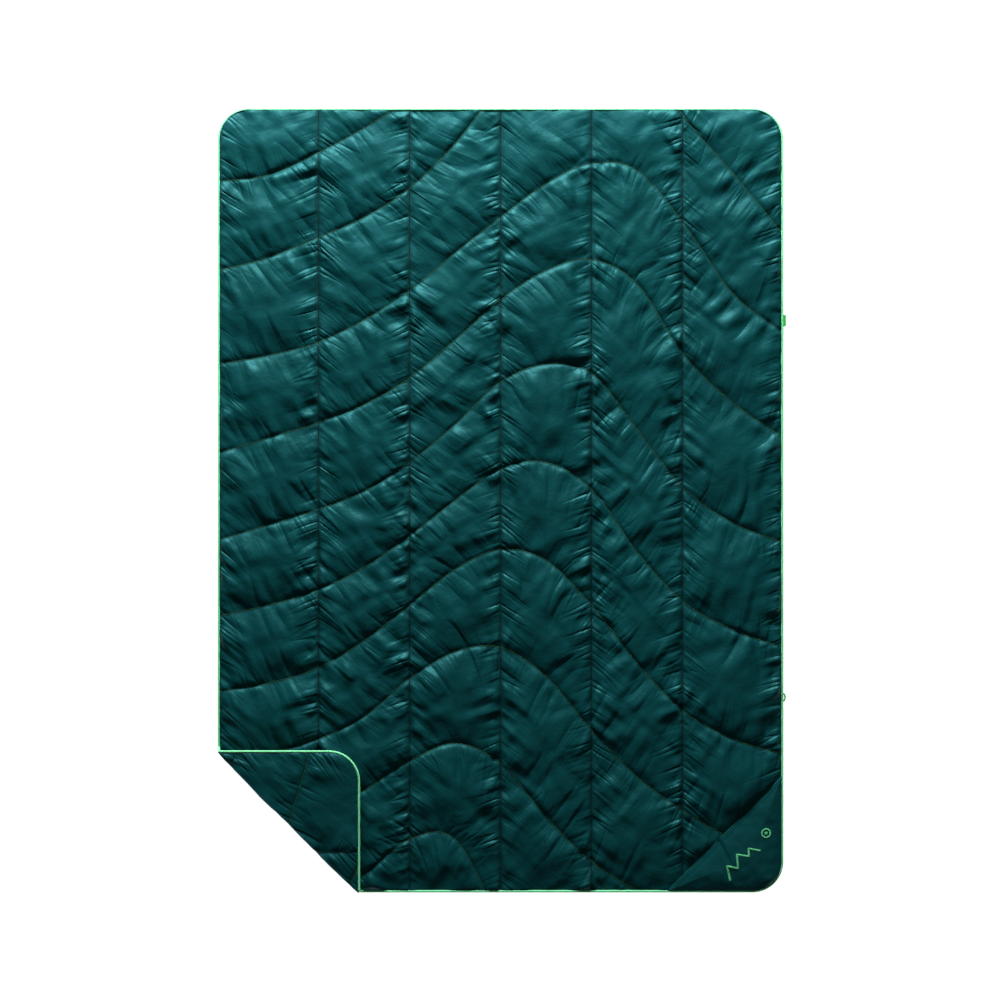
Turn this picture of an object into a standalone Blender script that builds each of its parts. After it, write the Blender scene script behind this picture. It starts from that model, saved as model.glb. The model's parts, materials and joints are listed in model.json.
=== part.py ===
"""A quilted camp blanket lying flat, with one corner folded over onto it.

The blanket lies on Z = 0 with its head end towards +Y. It is a sandwich: a face shell and a back shell
with a batt of insulation between them, pinched together along five straight seams that run lengthwise
and along wavy seams that run across. Two seam lines divide it into bodies that hinge: the middle seam,
and the 45 degree line of the folded corner. The folded corner is modelled unfolded and then turned over.
"""

import bpy
import bmesh
import math
import numpy as np
from mathutils import Matrix, Vector
from mathutils.bvhtree import BVHTree

# Driving dimensions, in metres
WIDTH = 1.270
LENGTH = 1.760
LOFT = 0.028            # thickness of one layer at the crown of a chamber
CORNER_RADIUS = 0.070
COLUMN = 0.204          # spacing of the lengthwise seams
SEAM_FACE = 0.0125      # height of the face at a seam
SEAM_BACK = 0.0095      # height of the back at a seam
SHELL = 0.0008
GAP = 0.0003            # clearance between pieces that touch
PIPING_RADIUS = 0.0028
FOLD_LEG = 0.322        # length of the folded corner along each edge
PATCH_LEG = 0.260
LOOP_REACH = 0.0076     # how far the loops stand out of the edge
LOOP_HEIGHT = 0.0102    # height of the webbing loop
UPPER_LOOP_Y = 0.403
LOWER_LOOP_Y = -0.442
THREAD_RADIUS = 0.0004

HALF_WIDTH = WIDTH / 2
HALF_LENGTH = LENGTH / 2
SHELL_INSET = 2 * PIPING_RADIUS + 0.001
PIPING_HEIGHT = (SEAM_FACE + SEAM_BACK) / 2
SEAMS_X = [-HALF_WIDTH, -2 * COLUMN, -COLUMN, 0, COLUMN, 2 * COLUMN, HALF_WIDTH]

# The wavy seams, foot to head: heights above the foot edge in centimetres, at every seam and halfway
# between. A height off the blanket carries a wave on past the edge where it runs out.
STATIONS = [-0.635, -0.52, -0.408, -0.306, -0.204, -0.102, 0, 0.102, 0.204, 0.306, 0.408, 0.52, 0.635]
WAVES_CM = [
    [-20, -12, -1.5, 4, 12, 12, -6, -20, -30, -30, -30, -30, -30],
    [11, 14.5, 18, 23, 29.5, 33.5, 29, 17, 7, 0.5, -5, -12.5, -20],
    [27.5, 31, 34.5, 39.5, 48, 54, 55, 48.5, 36.5, 26, 18.5, 12, 7],
    [45, 47, 50.5, 56.5, 64.5, 72.5, 77, 74.5, 64.5, 51.5, 41, 34.5, 31],
    [62, 64.5, 68, 73, 80, 88, 95, 96.5, 90.5, 76.5, 65.5, 59, 55],
    [79, 82.5, 86, 90, 96.5, 105, 114.5, 118.5, 116.5, 104, 91, 83, 78.5],
    [98.5, 102, 105.5, 109.5, 115.5, 124, 133, 139.5, 142, 136.5, 121, 110, 102],
    [118.5, 120.5, 123.5, 128.5, 135, 143.5, 151.5, 159, 163.5, 162, 150.5, 134.5, 125.5],
    [139.5, 142.5, 147, 151.5, 158, 168, 181, 190, 195, 190, 174.5, 161.5, 147.5],
    [159.5, 161, 166, 171.5, 178, 186, 195, 200, 205, 200, 195, 190, 185],
]


def wave(number, x):
    """Height of a wavy seam at x, along a smooth curve through its stations."""
    heights = np.array(WAVES_CM[number]) / 100 - HALF_LENGTH
    slopes = np.gradient(heights, STATIONS)
    i = min(max(int(np.searchsorted(STATIONS, x)) - 1, 0), len(STATIONS) - 2)
    step = STATIONS[i + 1] - STATIONS[i]
    t = (x - STATIONS[i]) / step
    return float(
        (2 * t**3 - 3 * t**2 + 1) * heights[i]
        + (t**3 - 2 * t**2 + t) * step * slopes[i]
        + (3 * t**2 - 2 * t**3) * heights[i + 1]
        + (t**3 - t**2) * step * slopes[i + 1]
    )


def edge(x):
    """Half the length of the shells at x, with the corners rounded."""
    past = abs(x) - (HALF_WIDTH - CORNER_RADIUS)
    radius = CORNER_RADIUS - SHELL_INSET
    drop = radius - math.sqrt(max(radius**2 - max(past, 0) ** 2, 0))
    return HALF_LENGTH - SHELL_INSET - drop


def fold_line(x):
    return FOLD_LEG - HALF_LENGTH - HALF_WIDTH - x


def patch_line(x):
    return PATCH_LEG - HALF_LENGTH - HALF_WIDTH + x


def bounds(x):
    """Heights of every seam at x from the foot edge to the head edge, never out of order."""
    heights = [-edge(x)]
    for height in [patch_line(x)] + [wave(number, x) for number in range(len(WAVES_CM))]:
        heights.append(min(max(height, heights[-1]), edge(x)))
    return heights + [edge(x)]


def puff(x, y):
    """How far the quilt is blown up at a point: 0 on a seam, 1 at the crown of a wide chamber."""
    i = min(max(int(np.searchsorted(SEAMS_X, x)) - 1, 0), len(SEAMS_X) - 2)
    left = max(SEAMS_X[i] + GAP, SHELL_INSET - HALF_WIDTH)
    right = min(SEAMS_X[i + 1] - GAP, HALF_WIDTH - SHELL_INSET)
    across = min(max((x - left) / (right - left), 0), 1)
    heights = bounds(x)
    j = min(max(int(np.searchsorted(heights, y)) - 1, 0), len(heights) - 2)
    span = heights[j + 1] - heights[j]
    if span < 1e-5:
        return 0.0
    along = min(max((y - heights[j]) / span, 0), 1)
    size = min(span / 0.09, 1) * (0.6 if j == 0 and patch_line(x) > -edge(x) else 1)
    return size * min(1.2 * math.sqrt(16 * across * (1 - across) * along * (1 - along)), 1)


def face(x, y):
    return SEAM_FACE + (LOFT - GAP - SEAM_FACE) * puff(x, y)


def back(x, y):
    return SEAM_BACK * (1 - puff(x, y))


# The three bodies: where each starts and ends in X, and the limits it puts on Y
BODIES = {
    "left": (SHELL_INSET - HALF_WIDTH, -GAP, lambda x, y: max(y, fold_line(x) + GAP)),
    "right": (GAP, HALF_WIDTH - SHELL_INSET, lambda x, y: y),
    "corner": (
        SHELL_INSET - HALF_WIDTH,
        FOLD_LEG - HALF_WIDTH - SHELL_INSET - GAP,
        lambda x, y: min(y, fold_line(x) - GAP),
    ),
}


def grid_lines(start, end):
    """X of the grid's lines: seams, thirds of the columns and the steeper part of the rounded corners."""
    radius = CORNER_RADIUS - SHELL_INSET
    rounding = [HALF_WIDTH - CORNER_RADIUS + radius * math.sin(math.radians(a)) for a in (35, 55, 72, 90)]
    lines = {start, end, FOLD_LEG - HALF_WIDTH - SHELL_INSET - GAP}
    lines |= {side * x for x in rounding for side in (-1, 1)}
    for left, right in zip(SEAMS_X, SEAMS_X[1:]):
        lines |= {left + (right - left) * third / 3 for third in range(3)}
    kept = sorted(x for x in lines if start <= x <= end)
    return [x for x, after in zip(kept, kept[1:] + [9]) if after - x > 0.004]


parts = bpy.data.collections.new("camp_blanket")
cutters = bpy.data.collections.new("cutters")


def clear_scene():
    for obj in list(bpy.data.objects):
        bpy.data.objects.remove(obj)
    for collection in (parts, cutters):
        bpy.context.scene.collection.children.link(collection)


def material(name, colour, roughness, sheen=0.0):
    made = bpy.data.materials.new(name)
    made.use_nodes = True
    shader = made.node_tree.nodes["Principled BSDF"]
    shader.inputs["Base Color"].default_value = (*colour, 1)
    shader.inputs["Roughness"].default_value = roughness
    shader.inputs["Sheen Weight"].default_value = sheen
    return made


def add_object(name, mesh, look):
    obj = bpy.data.objects.new(name, mesh)
    if look is not None:
        mesh.materials.append(look)
    parts.objects.link(obj)
    return obj


def quilt_surface(body, top):
    """The body's stretch of quilt as a grid whose rows follow the seams, at heights given by top(x, y)."""
    start, end, limit = BODIES[body]
    lines = grid_lines(start, end)
    rows = 3 * (len(WAVES_CM) + 2)
    bm = bmesh.new()
    middle = Matrix.Translation((0.5, 0.5, 0)) @ Matrix.Diagonal((0.5, 0.5, 1, 1))
    bmesh.ops.create_grid(bm, x_segments=len(lines) - 1, y_segments=rows, size=1, matrix=middle)
    for vert in bm.verts:
        x = lines[round(vert.co.x * (len(lines) - 1))]
        row = round(vert.co.y * rows)
        heights = bounds(x)
        i = min(row // 3, len(heights) - 2)
        y = heights[i] + (heights[i + 1] - heights[i]) * (row - 3 * i) / 3
        vert.co = (x, limit(x, y), 0)
    bmesh.ops.remove_doubles(bm, verts=bm.verts, dist=0.001)
    bmesh.ops.dissolve_degenerate(bm, edges=bm.edges, dist=0.0005)
    bmesh.ops.triangulate(bm, faces=bm.faces)
    for vert in bm.verts:
        vert.co.z = top(vert.co.x, vert.co.y)
    return bm


def quilt_layer(name, body, top, bottom, look):
    """A closed layer of the quilt between two heights."""
    bm = quilt_surface(body, top)
    upper = set(bm.verts)
    bmesh.ops.extrude_face_region(bm, geom=list(bm.faces))
    for vert in bm.verts:
        if vert not in upper:
            continue
        vert.co.z = bottom(vert.co.x, vert.co.y)
    bmesh.ops.recalc_face_normals(bm, faces=bm.faces)
    mesh = bpy.data.meshes.new(name)
    bm.to_mesh(mesh)
    bm.free()
    return add_object(name, mesh, look)


def add_layers(body, looks):
    """Face shell, back shell and batt of one body."""
    inner = SHELL + GAP
    quilt_layer(f"face_shell_{body}", body, face, lambda x, y: face(x, y) - SHELL, looks["face"])
    quilt_layer(f"back_shell_{body}", body, lambda x, y: back(x, y) + SHELL, back, looks["back"])
    quilt_layer(
        f"insulation_{body}",
        body,
        lambda x, y: face(x, y) - inner,
        lambda x, y: back(x, y) + inner,
        looks["batt"],
    )


def edge_route(points, inset):
    """The blanket's edge from point to point, each corner between them turned on its radius."""
    route = [Vector(points[0])]
    radius = CORNER_RADIUS - inset
    for before, corner, after in zip(points, points[1:], points[2:]):
        corner = Vector(corner)
        inward = [(Vector(end) - corner).normalized() * radius for end in (before, after)]
        centre = corner + inward[0] + inward[1]
        for step in range(7):
            angle = math.pi / 2 * step / 6
            route.append(centre - inward[1] * math.cos(angle) - inward[0] * math.sin(angle))
    return route + [Vector(points[-1])]


def tube(name, route, radius, look, sides=2, caps=True):
    """A round bar along a list of points."""
    curve = bpy.data.curves.new(name, "CURVE")
    curve.dimensions = "3D"
    curve.bevel_depth = radius
    curve.bevel_resolution = sides
    curve.use_fill_caps = caps
    spline = curve.splines.new("POLY")
    spline.points.add(len(route) - 1)
    for point, place in zip(spline.points, route):
        point.co = (*place, 1)
    return add_object(name, curve, look)


def add_piping(name, points, looks):
    """A sleeve of binding fabric along the edge, with a filler cord inside it."""
    flat = edge_route(points, PIPING_RADIUS)
    route = [Vector((point.x, point.y, PIPING_HEIGHT)) for point in flat]
    sleeve = tube(f"piping_sleeve_{name}", route, PIPING_RADIUS, looks["piping"], caps=False)
    wall = sleeve.modifiers.new("wall", "SOLIDIFY")
    wall.thickness = 0.0006
    wall.offset = -1
    tube(f"piping_cord_{name}", route, PIPING_RADIUS - 0.0011, looks["cord"])


def mesh_of(obj):
    """The object's evaluated shape as a mesh of its own, with its caps welded on."""
    bpy.context.view_layer.update()
    mesh = bpy.data.meshes.new_from_object(obj.evaluated_get(bpy.context.evaluated_depsgraph_get()))
    bm = bmesh.new()
    bm.from_mesh(mesh)
    bmesh.ops.remove_doubles(bm, verts=bm.verts, dist=0.00001)
    bm.to_mesh(mesh)
    bm.free()
    return mesh


def joined(name, bars, look):
    """Bars that cross one another, made one solid."""
    solids = []
    for bar in bars:
        solid = add_object(f"{bar.name}_solid", mesh_of(bar), None)
        bpy.data.objects.remove(bar)
        solids.append(solid)
    whole, *others = solids
    for other in others:
        parts.objects.unlink(other)
        cutters.objects.link(other)
        other.hide_render = True
        other.display_type = "WIRE"
        union = whole.modifiers.new(other.name, "BOOLEAN")
        union.operation = "UNION"
        union.object = other
    mesh = mesh_of(whole)
    for solid in solids:
        bpy.data.objects.remove(solid)
    mesh.materials.clear()
    return add_object(name, mesh, look)


def add_quilting_thread(body, looks):
    """The thread in the seams of the face: one line along each seam, crossing and locked together."""
    start, end, limit = BODIES[body]
    lines = grid_lines(start, end)
    height = SEAM_FACE + GAP + 2 * THREAD_RADIUS
    bars = []
    for number in range(1, len(WAVES_CM) + 1):
        route = []
        for x in lines:
            heights = bounds(x)
            y = heights[number + 1]
            on_edge = y - heights[0] < 0.004 or heights[-1] - y < 0.004
            on_patch = y <= patch_line(x) + 0.002
            if limit(x, y) == y and not on_edge and not on_patch:
                route.append(Vector((x, y, height)))
        if len(route) > 1:
            bars.append(tube(f"wave_{body}_{number}", route, THREAD_RADIUS, looks["thread"], 0))
    for x in SEAMS_X[1:-1]:
        side = x or math.copysign(4 * THREAD_RADIUS, start + end)
        if start < side < end:
            foot = max(-edge(side), patch_line(side))
            ends = [limit(side, foot) + 0.004, limit(side, edge(side)) - 0.004]
            if ends[0] < ends[1]:
                run = [Vector((side, y, height + THREAD_RADIUS / 4)) for y in ends]
                bars.append(tube(f"column_{body}_{x:.1f}", run, THREAD_RADIUS, looks["thread"], 0))
    if body != "corner":
        joined(f"quilting_thread_{body}", bars, looks["thread"])
        return
    for number, bar in enumerate(bars, 1):
        bar.name = f"quilting_thread_{number}_corner"


def patch_height(x, y):
    return face(x, y) + GAP + SHELL


def add_patch(looks):
    """The corner patch: a triangle of shell fabric over the right foot corner, with its two stitch rows."""
    lines = [x for x in grid_lines(GAP, HALF_WIDTH - SHELL_INSET) if x > HALF_WIDTH - PATCH_LEG + 0.01]
    lines = [HALF_WIDTH - PATCH_LEG + SHELL_INSET] + lines
    bm = bmesh.new()
    middle = Matrix.Translation((0.5, 0.5, 0)) @ Matrix.Diagonal((0.5, 0.5, 1, 1))
    bmesh.ops.create_grid(bm, x_segments=len(lines) - 1, y_segments=3, size=1, matrix=middle)
    for vert in bm.verts:
        x = lines[round(vert.co.x * (len(lines) - 1))]
        foot = -edge(x)
        y = foot + (max(patch_line(x) - GAP, foot) - foot) * vert.co.y
        vert.co = (x, y, patch_height(x, y))
    bmesh.ops.remove_doubles(bm, verts=bm.verts, dist=0.0002)
    bmesh.ops.triangulate(bm, faces=bm.faces)
    surface = BVHTree.FromBMesh(bm)
    upper = set(bm.verts)
    bmesh.ops.extrude_face_region(bm, geom=list(bm.faces))
    for vert in upper:
        vert.co.z -= SHELL
    bmesh.ops.recalc_face_normals(bm, faces=bm.faces)
    mesh = bpy.data.meshes.new("corner_patch")
    bm.to_mesh(mesh)
    bm.free()
    add_object("corner_patch", mesh, looks["face"])
    return surface


def drape(surface, points, rise):
    """Points laid onto a surface from above and lifted by a small rise."""
    return [surface.ray_cast(Vector((x, y, 1)), Vector((0, 0, -1)))[0] + Vector((0, 0, rise)) for x, y in points]


def add_patch_sewing(surface, looks):
    """Two stitch rows beside the patch's diagonal, and a small embroidered row of peaks with a sun."""
    rise = GAP + 2 * THREAD_RADIUS
    for name, inset in (("outer", 0.004), ("inner", 0.009)):
        xs = np.linspace(HALF_WIDTH - PATCH_LEG + 0.03, HALF_WIDTH - 0.02, 24)
        row = [(x, patch_line(x) - inset * math.sqrt(2)) for x in xs]
        tube(f"patch_stitch_{name}", drape(surface, row, rise), THREAD_RADIUS, looks["thread"], 0)
    centre = Vector((HALF_WIDTH - 0.085, -HALF_LENGTH + 0.080))
    along = Vector((1, 1)).normalized()
    up = Vector((-1, 1)).normalized()
    peaks = [(-62, -12), (-44, 16), (-30, -5), (-10, 19), (6, -3), (18, 10), (33, -12)]
    peaks = [(a / 1000, b / 1000) for a, b in peaks]
    path = []
    for (a, b), (c, d) in zip(peaks, peaks[1:]):
        for t in (0, 0.25, 0.5, 0.75):
            path.append(centre + along * (a + (c - a) * t) + up * (b + (d - b) * t))
    path.append(centre + along * peaks[-1][0] + up * peaks[-1][1])
    tube("embroidered_peaks", drape(surface, path, 0.0016), 0.0008, looks["embroidery"], 0)
    sun = centre + along * 0.070 + up * 0.006
    ring = [sun + Vector((math.cos(math.radians(a)), math.sin(math.radians(a)))) * 0.0095 for a in range(0, 341, 20)]
    tube("embroidered_sun", drape(surface, ring, 0.0016), 0.0008, looks["embroidery"], 0)


def add_loops(looks):
    """The two loops on the right edge: a flat webbing loop above and a thin cord loop below."""
    axis_x = HALF_WIDTH - PIPING_RADIUS
    reach = LOOP_REACH - GAP
    bpy.ops.mesh.primitive_cylinder_add(
        vertices=12, radius=reach / 2 / math.cos(math.pi / 12), depth=0.025, end_fill_type="NOTHING"
    )
    webbing = bpy.context.object
    webbing.name = "upper_loop"
    stretch = Matrix.Diagonal((1, 1, LOOP_HEIGHT / reach, 1))
    turn = Matrix.Rotation(math.pi / 2, 4, "X") @ Matrix.Rotation(math.pi / 12, 4, "Z")
    webbing.data.transform(Matrix.Translation((PIPING_RADIUS + GAP + reach / 2, 0, 0)) @ stretch @ turn)
    webbing.location = (axis_x, UPPER_LOOP_Y, PIPING_HEIGHT)
    webbing.data.materials.append(looks["loop"])
    for collection in list(webbing.users_collection):
        collection.objects.unlink(webbing)
    parts.objects.link(webbing)
    wall = webbing.modifiers.new("webbing", "SOLIDIFY")
    wall.thickness = 0.0008
    wall.offset = -1

    cord = 0.0012
    near = PIPING_RADIUS + GAP
    far = near + reach - cord
    half = 0.0095 - cord
    bend = 0.004
    route = [Vector((near, -half, 0))]
    for side, first in ((-1, 0), (1, 90)):
        for angle in range(first, first + 91, 30):
            out = far - bend + bend * math.sin(math.radians(angle))
            along = side * (half - bend) - bend * math.cos(math.radians(angle))
            route.append(Vector((out, along, 0)))
    route.append(Vector((near, half, 0)))
    lower = tube("lower_loop", route, cord, looks["loop"])
    lower.location = (axis_x, LOWER_LOOP_Y, PIPING_HEIGHT)


def turn_corner_over():
    """Folds the corner's pieces over the 45 degree line, about an axis level with the top of the layer."""
    on_fold = Vector((-HALF_WIDTH, fold_line(-HALF_WIDTH), LOFT))
    direction = Vector((1, -1, 0)).normalized()
    turn = Matrix.Translation(on_fold) @ Matrix.Rotation(math.pi, 4, direction) @ Matrix.Translation(-on_fold)
    hinge = bpy.data.objects.new("corner_hinge", None)
    parts.objects.link(hinge)
    hinge.location = on_fold
    bpy.context.view_layer.update()
    for obj in list(parts.objects):
        if obj.name.endswith("_corner"):
            obj.data.transform(turn)
            obj.parent = hinge
            obj.matrix_parent_inverse = hinge.matrix_world.inverted()


def hang_right_half():
    """Puts the right half's pieces under an empty on the middle seam, which the half folds about."""
    hinge = bpy.data.objects.new("middle_hinge", None)
    parts.objects.link(hinge)
    hinge.location = (0, 0, LOFT)
    bpy.context.view_layer.update()
    ends = ("_right", "corner_patch", "patch_stitch_outer", "patch_stitch_inner", "_peaks", "_sun", "_loop")
    for obj in list(parts.objects):
        if obj.name.endswith(ends):
            obj.parent = hinge
            obj.matrix_parent_inverse = hinge.matrix_world.inverted()


def main():
    clear_scene()
    looks = {
        "face": material("teal_ripstop", (0.003, 0.040, 0.042), 0.40, 0.2),
        "back": material("teal_taffeta", (0.003, 0.036, 0.040), 0.42, 0.2),
        "batt": material("white_batting", (0.80, 0.80, 0.78), 0.95),
        "piping": material("mint_binding", (0.155, 0.597, 0.296), 0.60),
        "cord": material("white_cord", (0.75, 0.75, 0.72), 0.85),
        "thread": material("olive_thread", (0.045, 0.140, 0.060), 0.65),
        "embroidery": material("light_green_thread", (0.120, 0.560, 0.250), 0.55),
        "loop": material("green_webbing", (0.013, 0.429, 0.045), 0.60),
    }
    for body in BODIES:
        add_layers(body, looks)
        add_quilting_thread(body, looks)

    w = HALF_WIDTH - PIPING_RADIUS
    h = HALF_LENGTH - PIPING_RADIUS
    fold_end = FOLD_LEG + PIPING_RADIUS + GAP
    corner_end = FOLD_LEG - PIPING_RADIUS - 2 * GAP
    add_piping("left", [(-w, fold_end - HALF_LENGTH), (-w, h), (-GAP, h)], looks)
    add_piping("left_foot", [(fold_end - HALF_WIDTH, -h), (-GAP, -h)], looks)
    add_piping("right", [(GAP, h), (w, h), (w, -h), (GAP, -h)], looks)
    add_piping("corner", [(-w, corner_end - HALF_LENGTH), (-w, -h), (corner_end - HALF_WIDTH, -h)], looks)

    surface = add_patch(looks)
    add_patch_sewing(surface, looks)
    add_loops(looks)
    turn_corner_over()
    hang_right_half()
    for obj in parts.objects:
        if obj.parent is None:
            obj.location.x -= LOOP_REACH / 2


main()
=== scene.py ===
"""The looks of a quilted camp blanket: shells, piping, patch, stitching and loops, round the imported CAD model."""

import json
import math

import bmesh
import bpy
import numpy as np
from mathutils import Matrix, Vector
from mathutils.bvhtree import BVHTree


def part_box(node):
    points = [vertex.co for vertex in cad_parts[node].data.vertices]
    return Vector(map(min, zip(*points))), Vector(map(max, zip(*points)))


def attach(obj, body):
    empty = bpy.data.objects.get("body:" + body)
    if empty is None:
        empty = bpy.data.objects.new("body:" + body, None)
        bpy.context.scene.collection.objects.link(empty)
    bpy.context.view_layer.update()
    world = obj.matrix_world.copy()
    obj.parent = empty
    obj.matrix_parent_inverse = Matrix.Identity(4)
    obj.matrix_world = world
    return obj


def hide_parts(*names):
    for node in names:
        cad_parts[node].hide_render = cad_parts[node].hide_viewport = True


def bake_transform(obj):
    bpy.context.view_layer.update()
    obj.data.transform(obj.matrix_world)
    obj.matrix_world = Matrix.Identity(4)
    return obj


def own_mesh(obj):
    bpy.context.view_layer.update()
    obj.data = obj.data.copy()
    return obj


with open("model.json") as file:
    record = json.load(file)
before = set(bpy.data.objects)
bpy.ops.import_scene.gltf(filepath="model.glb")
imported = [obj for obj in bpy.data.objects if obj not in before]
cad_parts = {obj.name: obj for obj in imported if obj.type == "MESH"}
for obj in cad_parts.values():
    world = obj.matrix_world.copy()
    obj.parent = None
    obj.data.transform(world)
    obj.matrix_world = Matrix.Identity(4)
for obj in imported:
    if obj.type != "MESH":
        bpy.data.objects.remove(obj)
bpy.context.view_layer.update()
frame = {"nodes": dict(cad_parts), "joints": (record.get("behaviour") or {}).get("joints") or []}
bpy.ops.object.select_all(action="DESELECT")
scene = bpy.context.scene

# ---------------------------------------------------------------------------------------------
# Studio: a plain pale floor, one large soft light beyond the head end, a weak one overhead, and a
# camera that looks straight down on the blanket.
# ---------------------------------------------------------------------------------------------
view_width = 2.2438
lens = 100
sensor = 36
camera_data = bpy.data.cameras.new("camera")
camera_data.lens = lens
camera_data.sensor_width = sensor
camera = bpy.data.objects.new("camera", camera_data)
camera.location = (-0.0049, 0.0007, view_width * lens / sensor + 0.011)
scene.collection.objects.link(camera)
scene.camera = camera
scene.view_settings.view_transform = "Standard"


def add_light(name, place, target, size, power, shine):
    light = bpy.data.lights.new(name, "AREA")
    light.shape = "RECTANGLE"
    light.size, light.size_y = size
    light.energy = power
    light.specular_factor = shine
    obj = bpy.data.objects.new(name, light)
    obj.location = place
    obj.rotation_euler = (Vector(target) - Vector(place)).to_track_quat("-Z", "Y").to_euler()
    scene.collection.objects.link(obj)


add_light("key_light", (-0.3, 3.1, 1.15), (0, 0, 0), (2.4, 0.7), 290, 1)
add_light("fill_light", (0.6, -0.6, 4.2), (0, 0, 0), (2.5, 2.5), 9, 0)
world = bpy.data.worlds.new("studio")
world.use_nodes = True
world.node_tree.nodes["Background"].inputs["Color"].default_value = (1, 1, 1, 1)
world.node_tree.nodes["Background"].inputs["Strength"].default_value = 0.03
scene.world = world

bpy.ops.mesh.primitive_plane_add(size=14, location=(0, 0, -0.0015))
floor = bpy.context.object
floor.name = "floor"
floor_look = bpy.data.materials.new("pale_floor")
floor_look.use_nodes = True
floor_look.node_tree.nodes["Principled BSDF"].inputs["Base Color"].default_value = (0.9, 0.9, 0.9, 1)
floor_look.node_tree.nodes["Principled BSDF"].inputs["Roughness"].default_value = 0.9
floor_look.node_tree.nodes["Principled BSDF"].inputs["Emission Color"].default_value = (1, 1, 1, 1)
floor_look.node_tree.nodes["Principled BSDF"].inputs["Emission Strength"].default_value = 1.0
floor.data.materials.append(floor_look)

# ---------------------------------------------------------------------------------------------
# Quilted shells: two sheets of thin, shiny nylon over and under the batting, stitched together
# along five straight seams and ten wavy ones, and puffed up in each chamber between them.
# ---------------------------------------------------------------------------------------------
joints = {joint["name"]: joint for joint in frame["joints"]}
sleeve_low, sleeve_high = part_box("piping_sleeve_right")
left_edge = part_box("piping_sleeve_left")[0].x
middle = (left_edge + sleeve_high.x) / 2
half_width = (sleeve_high.x - left_edge) / 2
half_length = (sleeve_high.y - sleeve_low.y) / 2
layer_top = joints["middle_fold"]["pos_m"][2]
piping_radius = (sleeve_high.z - sleeve_low.z) / 2
piping_height = (sleeve_high.z + sleeve_low.z) / 2
seam_face = piping_height + 0.0012
seam_back = piping_height - 0.0012
corner_radius = 0.070
column = 0.204
shell_inset = piping_radius
shell_x = half_width - shell_inset
shell_y = half_length - shell_inset
column_seams = np.array([-shell_x, -2 * column, -column, 0, column, 2 * column, shell_x])

# Heights of the wavy seams above the foot edge, foot to head, in centimetres, at every straight seam
# and halfway between
stations = np.array([-0.635, -0.52, -0.408, -0.306, -0.204, -0.102, 0, 0.102, 0.204, 0.306, 0.408, 0.52, 0.635])
waves_cm = np.array([
    [-20, -12, -1.5, 4, 12, 12, -6, -20, -30, -30, -30, -30, -30],
    [11, 14.5, 18, 23, 29.5, 33.5, 29, 17, 7, 0.5, -5, -12.5, -20],
    [27.5, 31, 34.5, 39.5, 48, 54, 55, 48.5, 36.5, 26, 18.5, 12, 7],
    [45, 47, 50.5, 56.5, 64.5, 72.5, 77, 74.5, 64.5, 51.5, 41, 34.5, 31],
    [62, 64.5, 68, 73, 80, 88, 95, 96.5, 90.5, 76.5, 65.5, 59, 55],
    [79, 82.5, 86, 90, 96.5, 105, 114.5, 118.5, 116.5, 104, 91, 83, 78.5],
    [98.5, 102, 105.5, 109.5, 115.5, 124, 133, 139.5, 142, 136.5, 121, 110, 102],
    [118.5, 120.5, 123.5, 128.5, 135, 143.5, 151.5, 159, 163.5, 162, 150.5, 134.5, 125.5],
    [139.5, 142.5, 147, 151.5, 158, 168, 181, 190, 195, 190, 174.5, 161.5, 147.5],
    [159.5, 161, 166, 171.5, 178, 186, 195, 200, 205, 200, 195, 190, 185],
])
past_edge = 0.2


def wave_seams(x):
    """Y of each wavy seam at x, foot to head, between a line past the foot and a line past the head."""
    heights = waves_cm / 100 - half_length
    slopes = np.gradient(heights, stations, axis=1)
    x = np.asarray(x, float)
    i = np.clip(np.searchsorted(stations, x, side="right") - 1, 0, len(stations) - 2)
    step = stations[i + 1] - stations[i]
    t = (x - stations[i]) / step
    found = (
        (2 * t**3 - 3 * t**2 + 1) * heights[:, i]
        + (t**3 - 2 * t**2 + t) * step * slopes[:, i]
        + (3 * t**2 - 2 * t**3) * heights[:, i + 1]
        + (t**3 - t**2) * step * slopes[:, i + 1]
    )
    return np.vstack([found[0] - past_edge, found, found[-1] + past_edge])


def to_seams(x, y):
    """Distances in metres to the nearest straight seam and to the nearest wavy seam, and the chamber's height."""
    i = np.clip(np.searchsorted(column_seams, x) - 1, 0, len(column_seams) - 2)
    across = np.minimum(x - column_seams[i], column_seams[i + 1] - x)
    lines = np.clip(wave_seams(x), -shell_y, shell_y)
    j = np.clip((y[None, :] >= lines).sum(axis=0) - 1, 0, len(lines) - 2)
    n = np.arange(len(x))
    along = np.minimum(y - lines[j, n], lines[j + 1, n] - y)
    return np.maximum(across, 0), np.maximum(along, 0), lines[j + 1, n] - lines[j, n]


def round_corners(x, y):
    """Draws the square corners of the sheet in to their radius."""
    radius = corner_radius - shell_inset
    a = np.clip((np.abs(x) - (shell_x - radius)) / radius, 0, 1)
    b = np.clip((np.abs(y) - (shell_y - radius)) / radius, 0, 1)
    move_x = radius * a * (1 - np.sqrt(1 - b**2 / 2))
    move_y = radius * b * (1 - np.sqrt(1 - a**2 / 2))
    return x - np.sign(x) * move_x, y - np.sign(y) * move_y


def soft_noise(x, y, scale, seed):
    """Smooth noise from -1 to 1: value noise on a lattice of the given scale, worked out from a fixed seed."""
    rng = np.random.default_rng(seed)
    table = rng.uniform(-1, 1, (64, 64))
    gx, gy = x / scale + 32.5, y / scale + 32.5
    ix, iy = np.floor(gx).astype(int), np.floor(gy).astype(int)
    fx, fy = gx - ix, gy - iy
    fx, fy = fx * fx * (3 - 2 * fx), fy * fy * (3 - 2 * fy)
    a, b = table[iy % 64, ix % 64], table[iy % 64, (ix + 1) % 64]
    c, d = table[(iy + 1) % 64, ix % 64], table[(iy + 1) % 64, (ix + 1) % 64]
    return (a * (1 - fx) + b * fx) * (1 - fy) + (c * (1 - fx) + d * fx) * fy


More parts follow.
